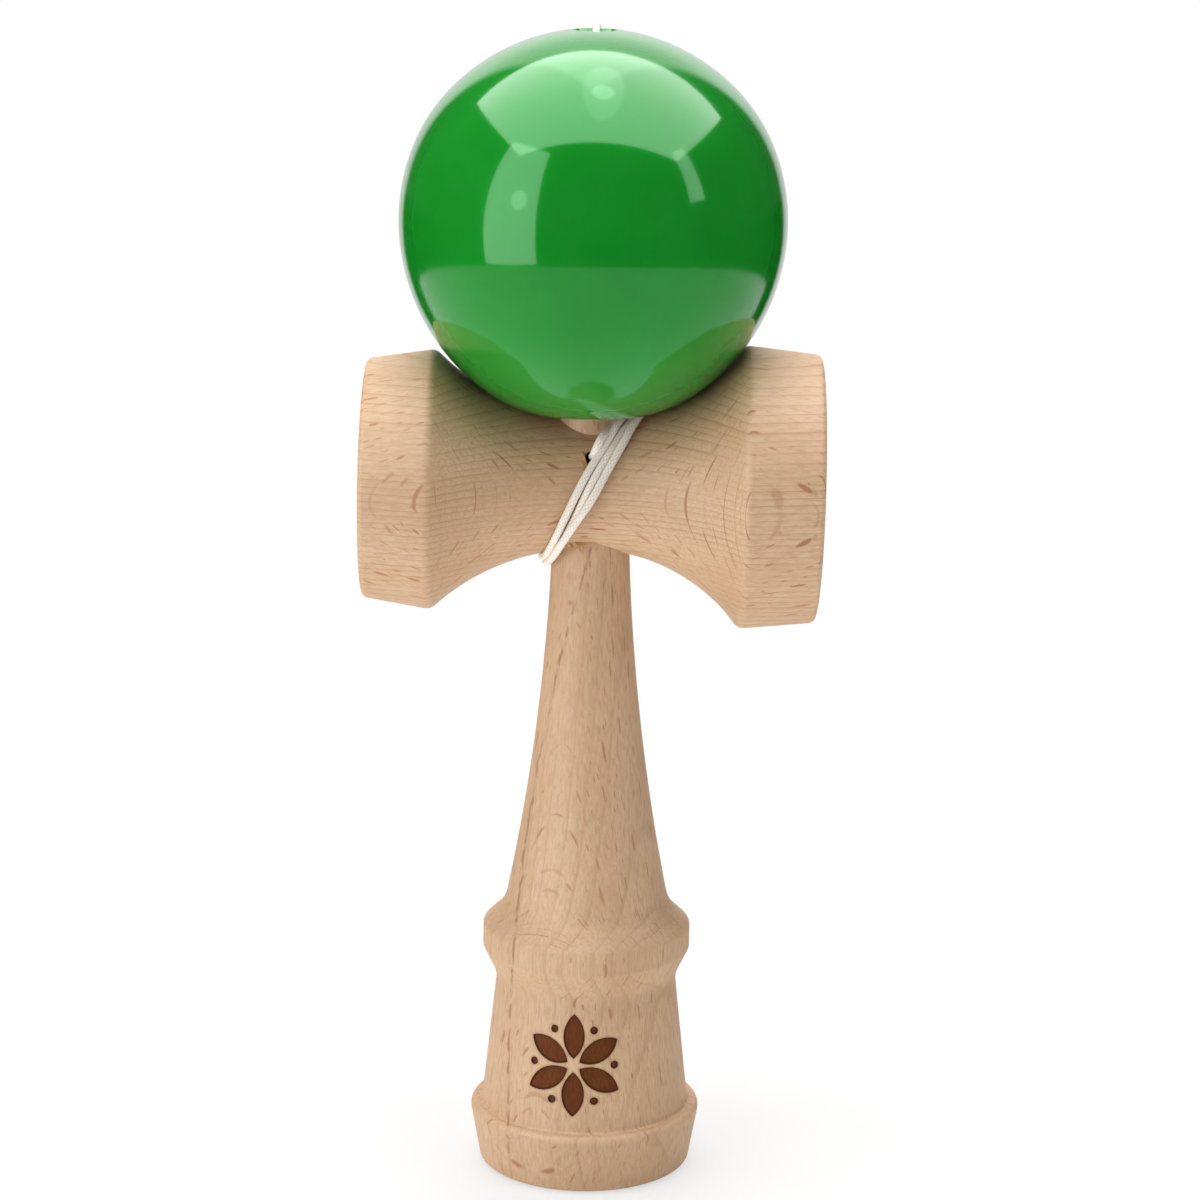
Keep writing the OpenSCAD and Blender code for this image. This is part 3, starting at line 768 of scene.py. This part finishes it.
def beech_group():
    """Beech in the round: x is across the rings, y along them and z along the grain, in millimetres."""
    tree, given, result = new_group(
        "beech_grain",
        [
            ("Grain", "NodeSocketVector", None),
            ("Ring spacing", "NodeSocketFloat", 2.0),
            ("Ring strength", "NodeSocketFloat", 0.5),
            ("Ray strength", "NodeSocketFloat", 0.6),
            ("Pith distance", "NodeSocketFloat", 60.0),
            ("Sway", "NodeSocketFloat", 6.0),
        ],
        [("Colour", "NodeSocketColor"), ("Roughness", "NodeSocketFloat"), ("Height", "NodeSocketFloat")],
    )
    grain = given["Grain"]
    sway = noise(tree, stretch(tree, grain, (0.05, 0.04, 0.014)), 2.0)
    part = put(tree, "ShaderNodeSeparateXYZ", (grain,)).outputs
    from_pith = calc(tree, "ADD", part[0], given["Pith distance"])
    swayed = calc(tree, "MULTIPLY_ADD", sway, given["Sway"], length_of(tree, from_pith, part[1]))
    flutter = noise(tree, stretch(tree, grain, (0.5, 0.5, 0.12), (3, 7, 1)), 2.0)
    swayed = calc(tree, "MULTIPLY_ADD", flutter, 0.2, swayed)
    years = calc(tree, "DIVIDE", swayed, given["Ring spacing"])
    uneven = put(tree, "ShaderNodeCombineXYZ", (calc(tree, "MULTIPLY", years, 0.45), 0.0, 0.0)).outputs[0]
    years = calc(tree, "MULTIPLY_ADD", noise(tree, uneven, 1.0), 1.7, years)
    season = calc(tree, "FRACT", years)
    late = calc(tree, "MULTIPLY", remap(tree, season, 0.35, 0.95), remap(tree, season, 1.0, 0.95))
    line = calc(tree, "MULTIPLY", remap(tree, season, 0.78, 0.93), remap(tree, season, 1.0, 0.95))
    patches = noise(tree, stretch(tree, grain, (0.12, 0.12, 0.03), (5, 1, 2)), 2.0)
    fade = remap(tree, patches, 0.3, 0.65, 0.25, 1.0)
    ring = calc(tree, "ADD", calc(tree, "MULTIPLY", late, 0.45), calc(tree, "MULTIPLY", line, 0.75))
    ring = calc(tree, "MULTIPLY", calc(tree, "MULTIPLY", ring, fade), given["Ring strength"], clamp=True)
    pores = noise(tree, stretch(tree, grain, (2.8, 2.8, 0.36)), 3.0, 0.7)
    dots = noise(tree, stretch(tree, grain, (6.5, 6.5, 1.3), (9, 2, 4)), 2.0, 0.6)
    specks = remap(tree, dots, 0.58, 0.74)
    tone = noise(tree, stretch(tree, grain, (0.09, 0.09, 0.025), (1, 4, 8)), 3.0)
    rays, chance = ray_cells(tree, grain, (16.0, 1.0, 2.8), 0.07, 0.95, (0, 0, 0))
    wide, wide_chance = ray_cells(tree, grain, (22.0, 2.9, 6.5), 0.16, 1.7, (3.3, 1.7, 5.1))
    rays = calc(tree, "MULTIPLY", rays, remap(tree, chance, 0.1, 0.9, 0.25, 0.9))
    wide = calc(tree, "MULTIPLY", wide, remap(tree, wide_chance, 0.25, 0.6))
    fleck = calc(tree, "MULTIPLY", calc(tree, "MAXIMUM", rays, wide), given["Ray strength"], clamp=True)
    colour = blend_colour(tree, remap(tree, tone, 0.3, 0.7), BEECH_PALE, BEECH_WARM)
    colour = blend_colour(tree, remap(tree, pores, 0.32, 0.7, 0.0, 0.62), colour, PORE_BROWN)
    colour = blend_colour(tree, ring, colour, RING_BROWN)
    colour = blend_colour(tree, calc(tree, "MULTIPLY", specks, 0.42), colour, SPECK_BROWN)
    colour = blend_colour(tree, fleck, colour, RAY_BROWN)
    tree.links.new(colour, result["Colour"])
    gloss = calc(tree, "MULTIPLY_ADD", pores, 0.16, 0.46)
    tree.links.new(calc(tree, "MULTIPLY_ADD", fleck, -0.1, gloss), result["Roughness"])
    height = calc(tree, "MULTIPLY_ADD", pores, -0.6, calc(tree, "MULTIPLY", specks, -0.7))
    tree.links.new(calc(tree, "MULTIPLY_ADD", ring, -0.35, height), result["Height"])
    return tree


beech_grain = beech_group()


def object_mm(tree, rotation=(0, 0, 0), shift=(0, 0, 0)):
    coordinates = put(tree, "ShaderNodeTexCoord").outputs["Object"]
    inputs = {"Vector": coordinates, "Scale": (1000, 1000, 1000), "Rotation": rotation, "Location": shift}
    return put(tree, "ShaderNodeMapping", inputs).outputs[0]


BEECH_GLOSS, CHAR_GLOSS = 0.35, 0.05
# Grain of each piece: its turn, its shift, the rings' spacing and strength, the rays' strength, pith and sway
HANDLE_GRAIN = ((0, 0, math.radians(28)), (2.0, 1.0, 0), 2.6, 0.38, 0.85, 45.0, 6.0)
CROSS_GRAIN = ((0, math.radians(90), 0), (1.0, 3.0, 4.0), 1.05, 0.8, 1.0, 90.0, 1.3)
BALL_GRAIN = ((0, 0, 0.4), (5.0, 2.0, 9.0), 2.2, 0.5, 0.5, 50.0, 6.0)


def beech(name, rotation, shift, spacing, rings, rays, pith, sway):
    """Bare turned beech, with its grain turned into place."""
    material, tree, bsdf = new_material(name)
    grain = put(tree, "ShaderNodeGroup", node_tree=beech_grain)
    tree.links.new(object_mm(tree, rotation, shift), grain.inputs["Grain"])
    for label, value in (
        ("Ring spacing", spacing),
        ("Ring strength", rings),
        ("Ray strength", rays),
        ("Pith distance", pith),
        ("Sway", sway),
    ):
        grain.inputs[label].default_value = value
    tree.links.new(grain.outputs["Colour"], bsdf.inputs["Base Color"])
    tree.links.new(grain.outputs["Roughness"], bsdf.inputs["Roughness"])
    emboss(tree, bsdf, grain.outputs["Height"], 0.35, 0.08)
    bsdf.inputs["Specular IOR Level"].default_value = BEECH_GLOSS
    return material, tree, bsdf, grain


def burn_mask(tree):
    """How far a point is from the flower's petals and dots, in millimetres: below zero inside them."""
    part = put(tree, "ShaderNodeSeparateXYZ", (object_mm(tree),)).outputs
    turn = calc(tree, "ARCTAN2", part[0], calc(tree, "MULTIPLY", part[1], -1.0))
    a = calc(tree, "MULTIPLY", calc(tree, "SUBTRACT", turn, MOTIF_TURN), MOTIF_R)
    b = calc(tree, "SUBTRACT", part[2], MOTIF_Z)
    r = length_of(tree, a, b)
    half_share = math.pi / PETALS
    fold = calc(tree, "FLOORED_MODULO", calc(tree, "ARCTAN2", b, a), 2 * half_share)
    off_petal = calc(tree, "ABSOLUTE", calc(tree, "SUBTRACT", fold, half_share))
    off_dot = calc(tree, "SUBTRACT", half_share, off_petal)

    def reach(angle, along, aside):
        x = calc(tree, "SUBTRACT", calc(tree, "MULTIPLY", r, calc(tree, "COSINE", angle)), along)
        y = calc(tree, "ADD", calc(tree, "MULTIPLY", r, calc(tree, "SINE", angle)), aside)
        return length_of(tree, x, y)

    petal = reach(off_petal, (PETAL_START + PETAL_END) / 2, PETAL_ARC - PETAL_HALF)
    dot = reach(off_dot, DOT_AT, 0.0)
    return calc(
        tree, "MINIMUM", calc(tree, "SUBTRACT", petal, PETAL_ARC), calc(tree, "SUBTRACT", dot, DOT_R)
    )


# A thin brown streak down the handle's front: its place at the foot, how it slants and how it bows
STREAK_X, STREAK_SLANT, STREAK_BOW = -11.7, 0.057, -0.00167
STREAK_BROWN = (0.31, 0.155, 0.072)
# The burnt flower: the scorched wood round it, and its char at the edge, in the middle and in patches
SCORCH_BROWN = (0.30, 0.13, 0.055)
CHAR_EDGE, CHAR_CORE, CHAR_PATCH = (0.075, 0.020, 0.006), (0.140, 0.044, 0.014), (0.090, 0.026, 0.008)


def burn_edge(tree):
    """The distance from the flower's outline with a ragged edge, and the noise that makes it so."""
    ragged = noise(tree, stretch(tree, object_mm(tree), (3.0, 3.0, 0.8)), 2.0)
    off = calc(tree, "MULTIPLY_ADD", ragged, 0.16, -0.08)
    return calc(tree, "ADD", burn_mask(tree), off), ragged


def handle_beech():
    material, tree, bsdf, grain = beech("beech_handle", *HANDLE_GRAIN)
    part = put(tree, "ShaderNodeSeparateXYZ", (object_mm(tree),)).outputs
    slant = calc(tree, "MULTIPLY_ADD", part[2], STREAK_BOW, STREAK_SLANT)
    off_streak = calc(tree, "MULTIPLY_ADD", part[2], slant, calc(tree, "SUBTRACT", part[0], STREAK_X))
    patchy = noise(tree, stretch(tree, object_mm(tree), (0.8, 0.8, 0.3), (2, 6, 3)), 2.0)
    off_streak = calc(tree, "ADD", off_streak, calc(tree, "MULTIPLY_ADD", patchy, 0.8, -0.4))
    streak = remap(tree, calc(tree, "ABSOLUTE", off_streak), 0.3, 0.05)
    streak = calc(tree, "MULTIPLY", streak, remap(tree, part[1], -2.0, -5.0))
    streak = calc(tree, "MULTIPLY", streak, remap(tree, patchy, 0.42, 0.56, 0.1, 0.85))
    colour = blend_colour(tree, streak, grain.outputs["Colour"], STREAK_BROWN)
    away = burn_edge(tree)[0]
    colour = blend_colour(tree, remap(tree, away, 0.42, 0.0, 0.0, 0.34), colour, SCORCH_BROWN)
    colour = blend_colour(tree, remap(tree, away, 0.06, -0.03), colour, CHAR_EDGE)
    tree.links.new(colour, bsdf.inputs["Base Color"])
    return material


def burnt_beech():
    """The floor and walls of the burnt flower: dark and dull."""
    material, tree, bsdf, _ = beech("burnt_motif", *HANDLE_GRAIN)
    away, ragged = burn_edge(tree)
    char = blend_colour(tree, remap(tree, away, -0.05, -0.45), CHAR_EDGE, CHAR_CORE)
    char = blend_colour(tree, remap(tree, ragged, 0.35, 0.7, 0.0, 0.6), char, CHAR_PATCH)
    tree.links.new(char, bsdf.inputs["Base Color"])
    bsdf.inputs["Specular IOR Level"].default_value = CHAR_GLOSS
    return material


def in_motif(face):
    """Whether a face of the handle is in the burnt flower, below the body's skin."""
    x, y, z = face.center / MM
    return y < 0 and abs(z - MOTIF_Z) < PETAL_END and math.hypot(x, y) < body_r(z) - BURN_DEPTH / 4


# Bare wood in the ball: how far past the spike's hole it reaches, and how far below the top it ends
BARE_EDGE, BARE_TOP = 0.05, 4


def in_ball(face):
    """Whether a face of the ball is inside its holes, where the wood is bare."""
    x, y, z = face.center / MM
    return math.hypot(x, y) < SPIKE_HOLE_R + BARE_EDGE and z < BALL_Z + BALL_R - BARE_TOP


def cross_beech():
    return beech("beech_cross_piece", *CROSS_GRAIN)[0]


def bare_ball_wood():
    return beech("beech_in_ball", *BALL_GRAIN)[0]


# Lacquer: its deep and its clear green, dust under it, and the green that its own gloss takes
GREEN_DEEP, GREEN_CLEAR, GREEN_DUST = (0.006, 0.210, 0.014), (0.008, 0.238, 0.018), (0.05, 0.33, 0.07)
GREEN_GLOSS = (0.02, 0.95, 0.25, 1)


def green_lacquer():
    material, tree, bsdf = new_material("green_lacquer")
    place = object_mm(tree)
    depth = noise(tree, stretch(tree, place, (0.05, 0.05, 0.05)), 2.0)
    colour = blend_colour(tree, remap(tree, depth, 0.3, 0.7), GREEN_DEEP, GREEN_CLEAR)
    dust = remap(tree, noise(tree, stretch(tree, place, (1.9, 1.9, 1.9)), 1.0), 0.76, 0.82)
    colour = blend_colour(tree, calc(tree, "MULTIPLY", dust, 0.3), colour, GREEN_DUST)
    tree.links.new(colour, bsdf.inputs["Base Color"])
    smear = noise(tree, stretch(tree, place, (0.12, 0.12, 0.12), (4, 4, 4)), 3.0)
    tree.links.new(remap(tree, smear, 0.3, 0.7, 0.10, 0.16), bsdf.inputs["Roughness"])
    peel = noise(tree, stretch(tree, place, (0.55, 0.55, 0.55)), 2.0)
    emboss(tree, bsdf, peel, 0.12, 0.06)
    bsdf.inputs["Specular IOR Level"].default_value = 0.3
    bsdf.inputs["Specular Tint"].default_value = GREEN_GLOSS
    bsdf.inputs["Coat Weight"].default_value = 0.65
    bsdf.inputs["Coat Roughness"].default_value = 0.07
    bsdf.inputs["Coat IOR"].default_value = 1.5
    return material


# Cord: its white, the painted shade in the grooves between its yarns and where it is worn, and the fibres in
# one yarn
CORD_WHITE, CORD_PAINTED_SHADE, CORD_WORN = (0.96, 0.89, 0.80), (0.64, 0.55, 0.45), (0.78, 0.69, 0.58)
YARN_FIBRES = 6


def cord_white():
    material, tree, bsdf = new_material("cord_white")
    lay = put(tree, "ShaderNodeUVMap", uv_map="lay").outputs[0]
    part = put(tree, "ShaderNodeSeparateXYZ", (lay,)).outputs
    turns = calc(tree, "MULTIPLY", part[0], float(YARNS))
    run = calc(tree, "DIVIDE", part[1], YARN_LAY)
    right, left = calc(tree, "ADD", turns, run), calc(tree, "SUBTRACT", turns, run)

    def crown(phase):
        return calc(tree, "SINE", calc(tree, "MULTIPLY", calc(tree, "FRACT", phase), math.pi))

    steps = calc(tree, "ADD", calc(tree, "FLOOR", right), calc(tree, "FLOOR", left))
    under = calc(tree, "FLOORED_MODULO", steps, 2.0)
    r, l = crown(right), crown(left)
    top = put(tree, "ShaderNodeMix", {"Factor": under, "A": r, "B": l}).outputs[0]
    side = put(tree, "ShaderNodeMix", {"Factor": under, "A": right, "B": left}).outputs[0]
    fibres = calc(tree, "SINE", calc(tree, "MULTIPLY", side, YARN_FIBRES * 2 * math.pi))
    # Painted shade: the colour darkens where the yarns dip into the grooves between them, where shade falls
    painted_groove_shade = remap(tree, top, 0.55, 0.05)
    colour = blend_colour(tree, painted_groove_shade, CORD_WHITE, CORD_PAINTED_SHADE)
    worn = noise(tree, stretch(tree, lay, (2.0, 0.12, 1.0)), 2.0)
    colour = blend_colour(tree, remap(tree, worn, 0.45, 0.8, 0.0, 0.4), colour, CORD_WORN)
    tree.links.new(colour, bsdf.inputs["Base Color"])
    emboss(tree, bsdf, calc(tree, "MULTIPLY_ADD", fibres, 0.12, top), 0.4, 0.04)
    tree.links.new(remap(tree, top, 0.0, 1.0, 0.7, 0.48), bsdf.inputs["Roughness"])
    bsdf.inputs["Sheen Weight"].default_value = 0.25
    bsdf.inputs["Sheen Roughness"].default_value = 0.4
    return material


SPLINTER_PALE, SPLINTER_BROWN = (0.80, 0.52, 0.22), (0.62, 0.33, 0.13)


def splinter_wood():
    material, tree, bsdf = new_material("splinter_wood")
    fibres = noise(tree, stretch(tree, object_mm(tree), (2.0, 2.0, 2.0)), 2.0)
    colour = blend_colour(tree, remap(tree, fibres, 0.3, 0.7), SPLINTER_PALE, SPLINTER_BROWN)
    tree.links.new(colour, bsdf.inputs["Base Color"])
    bsdf.inputs["Roughness"].default_value = 0.5
    return material


inside_wood, cord = bare_ball_wood(), cord_white()
splinters.data.materials.append(splinter_wood())
cross_piece.data.materials.append(cross_beech())
for piece, outside, inside, is_inside in (
    (handle, handle_beech(), burnt_beech(), in_motif),
    (ball, green_lacquer(), inside_wood, in_ball),
):
    piece.data.materials.append(outside)
    piece.data.materials.append(inside)
    for face in piece.data.polygons:
        face.material_index = int(is_inside(face))
for piece in (string, handle_knot, bead_knot):
    piece.data.materials.append(cord)
frame["nodes"]["string_bead"].material_slots[0].material = inside_wood

# What each piece rides on and stands for
for piece, body, node, slot in (
    (handle, "handle", "handle", "beech"),
    (cross_piece, "handle", "cross_piece", "beech"),
    (ball, "ball", "ball", "green_lacquer"),
    (handle_knot, "handle", "anchor_knot", "cord"),
    (bead_knot, "string_end", "bead_knot", "cord"),
):
    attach(piece, body)
    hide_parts(node)
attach(splinters, "handle")
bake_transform(string)
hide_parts("string_lead", "string_winding", "string_tail")


# Studio, in metres: a light that glossy surfaces see stands this far in front of its place
GLOSSY_STEP = 0.02


def soft_box(name, at, aim, width, height, matt, glossy, shape="RECTANGLE"):
    """A soft light turned towards a point, with its radiance on matt surfaces and in glossy ones."""
    for kind, radiance in (("matt", matt), ("glossy", glossy)):
        if not radiance:
            continue
        lamp = bpy.data.lights.new(name + "_" + kind, "AREA")
        lamp.shape = shape
        lamp.size, lamp.size_y = width, height
        lamp.energy = radiance * math.pi * width * height
        light = bpy.data.objects.new(name + "_" + kind, lamp)
        bpy.context.scene.collection.objects.link(light)
        way = Vector(aim) - Vector(at)
        light.location = Vector(at) + way.normalized() * (GLOSSY_STEP if kind == "glossy" else 0)
        light.rotation_euler = way.to_track_quat("-Z", "Y").to_euler()
        light.visible_diffuse = kind == "matt"
        light.visible_glossy = kind == "glossy"


# Boxes that the lacquer mirrors
soft_box("top_box", (0.095, 0.015, 1.05), (0.095, 0.015, 0), 2.01, 1.33, 0, 4.6)
soft_box("left_box", (-0.378, -0.334, 0.315), (0, 0, 0.315), 0.28, 0.63, 0, 3.9)
soft_box("left_bulb", (-0.344, -0.356, 0.285), (0, 0, 0.285), 0.08, 0.09, 0, 2.0, "ELLIPSE")
soft_box("right_strip", (0.90, -0.43, 0.68), (0, 0, 0.68), 0.18, 0.60, 0, 3.2)
soft_box("top_bulb", (0.05, 0.00, 0.98), (0.05, 0.00, 0), 0.13, 0.15, 0, 2.2, "ELLIPSE")
soft_box("top_glow", (0.05, 0.00, 0.97), (0.05, 0.00, 0), 0.24, 0.62, 0, 0.9, "ELLIPSE")

# Washes that light the wood
WASH_AIM = (0, 0, 0.12)
soft_box("top_wash", (0, 0, 1.05), (0, 0, 0), 0.90, 0.70, 6.4, 0)
soft_box("left_wash", (-0.80, -0.66, 0.30), WASH_AIM, 0.80, 0.50, 3.0, 0)
soft_box("far_left_wash", (-1.00, -0.10, 0.40), WASH_AIM, 0.50, 0.60, 2.7, 0)
soft_box("right_wash", (0.95, -0.30, 0.40), WASH_AIM, 0.50, 0.60, 1.8, 0)
soft_box("front_wash", (-0.45, -0.95, 0.20), WASH_AIM, 0.70, 0.34, 1.5, 0)
soft_box("back_wash", (0, 0.95, 0.70), WASH_AIM, 0.90, 0.40, 1.1, 0)


# What the lacquer mirrors: a round table, a white sheet behind it, and the dark between them
TABLE_END, TABLE_FADE, TABLE_LIGHT = 0.50, 0.44, 0.95
GAP_START, GAP_END = 0.67, 0.73
SHEET_START, SHEET_END = 0.84, 0.905
SHEET_LOW, SHEET_HIGH, SHEET_RISE = 0.8, 1.3, 0.5
ROOM_GLOW = 0.04
# The floor: its size and how far it lies below the foot, its greys, and where the shadow shows on it
FLOOR_SIZE, FLOOR_DROP = 8, 0.0002
FLOOR_GREY, FLOOR_GREY_SEEN = (0.95, 0.95, 0.95), (0.86, 0.86, 0.86)
SHADOW_START, SHADOW_END, SHADOW_WHITE = 0.02, 0.13, 0.6


def make_floor():
    deselect()
    bpy.ops.mesh.primitive_plane_add(size=FLOOR_SIZE, location=(0, 0, -FLOOR_DROP))
    floor = bpy.context.object
    floor.name = "pale_floor"
    material, tree, bsdf = new_material("pale_floor")
    tree.nodes.remove(bsdf)
    out = tree.nodes["Material Output"]
    place = put(tree, "ShaderNodeTexCoord").outputs["Object"]
    away = put(tree, "ShaderNodeVectorMath", (place,), operation="LENGTH").outputs["Value"]
    path = put(tree, "ShaderNodeLightPath").outputs
    seen = calc(tree, "MAXIMUM", path["Is Camera Ray"], path["Is Glossy Ray"])
    seen = calc(tree, "MAXIMUM", seen, path["Is Transmission Ray"])
    share = calc(tree, "MULTIPLY", seen, remap(tree, away, SHADOW_START, SHADOW_END, SHADOW_WHITE, 1.0))
    back = put(tree, "ShaderNodeVectorMath", (place,), operation="NORMALIZE").outputs[0]
    back = put(tree, "ShaderNodeSeparateXYZ", (back,)).outputs[1]
    table = remap(tree, away, TABLE_END, TABLE_FADE, 0.0, TABLE_LIGHT)
    table = calc(tree, "MULTIPLY", table, remap(tree, back, GAP_END, GAP_START))
    sheet = remap(tree, back, SHEET_START, SHEET_END, 0.0, SHEET_LOW)
    light = calc(tree, "MAXIMUM", calc(tree, "MAXIMUM", table, sheet), path["Is Camera Ray"])
    tint = blend_colour(tree, path["Is Camera Ray"], FLOOR_GREY, FLOOR_GREY_SEEN)
    cloth = put(tree, "ShaderNodeBsdfDiffuse", (tint,)).outputs[0]
    white = put(tree, "ShaderNodeEmission", ((1, 1, 1, 1), light)).outputs[0]
    mixed = put(tree, "ShaderNodeMixShader", (share, cloth, white)).outputs[0]
    tree.links.new(mixed, out.inputs["Surface"])
    floor.data.materials.append(material)


def make_world():
    world = bpy.data.worlds.new("studio")
    bpy.context.scene.world = world
    world.use_nodes = True
    tree = world.node_tree
    background = tree.nodes["Background"]
    towards = put(tree, "ShaderNodeTexCoord").outputs["Generated"]
    way = put(tree, "ShaderNodeSeparateXYZ", (towards,)).outputs
    level = put(tree, "ShaderNodeCombineXYZ", (way[0], way[1], 0.0)).outputs[0]
    back = put(tree, "ShaderNodeVectorMath", (level,), operation="NORMALIZE").outputs[0]
    back = put(tree, "ShaderNodeSeparateXYZ", (back,)).outputs[1]
    sheet = remap(tree, back, SHEET_START, SHEET_END)
    sheet = calc(tree, "MULTIPLY", sheet, remap(tree, way[2], 0.0, SHEET_RISE, SHEET_LOW, SHEET_HIGH))
    path = put(tree, "ShaderNodeLightPath").outputs
    room = calc(tree, "MULTIPLY", path["Is Glossy Ray"], ROOM_GLOW)
    strength = calc(tree, "ADD", room, calc(tree, "MULTIPLY", sheet, calc(tree, "SUBTRACT", 1.0, room)))
    strength = calc(tree, "MAXIMUM", strength, path["Is Camera Ray"])
    tree.links.new(strength, background.inputs["Strength"])
    background.inputs["Color"].default_value = (1, 1, 1, 1)


make_floor()
make_world()
bpy.context.scene.view_settings.view_transform = "Standard"
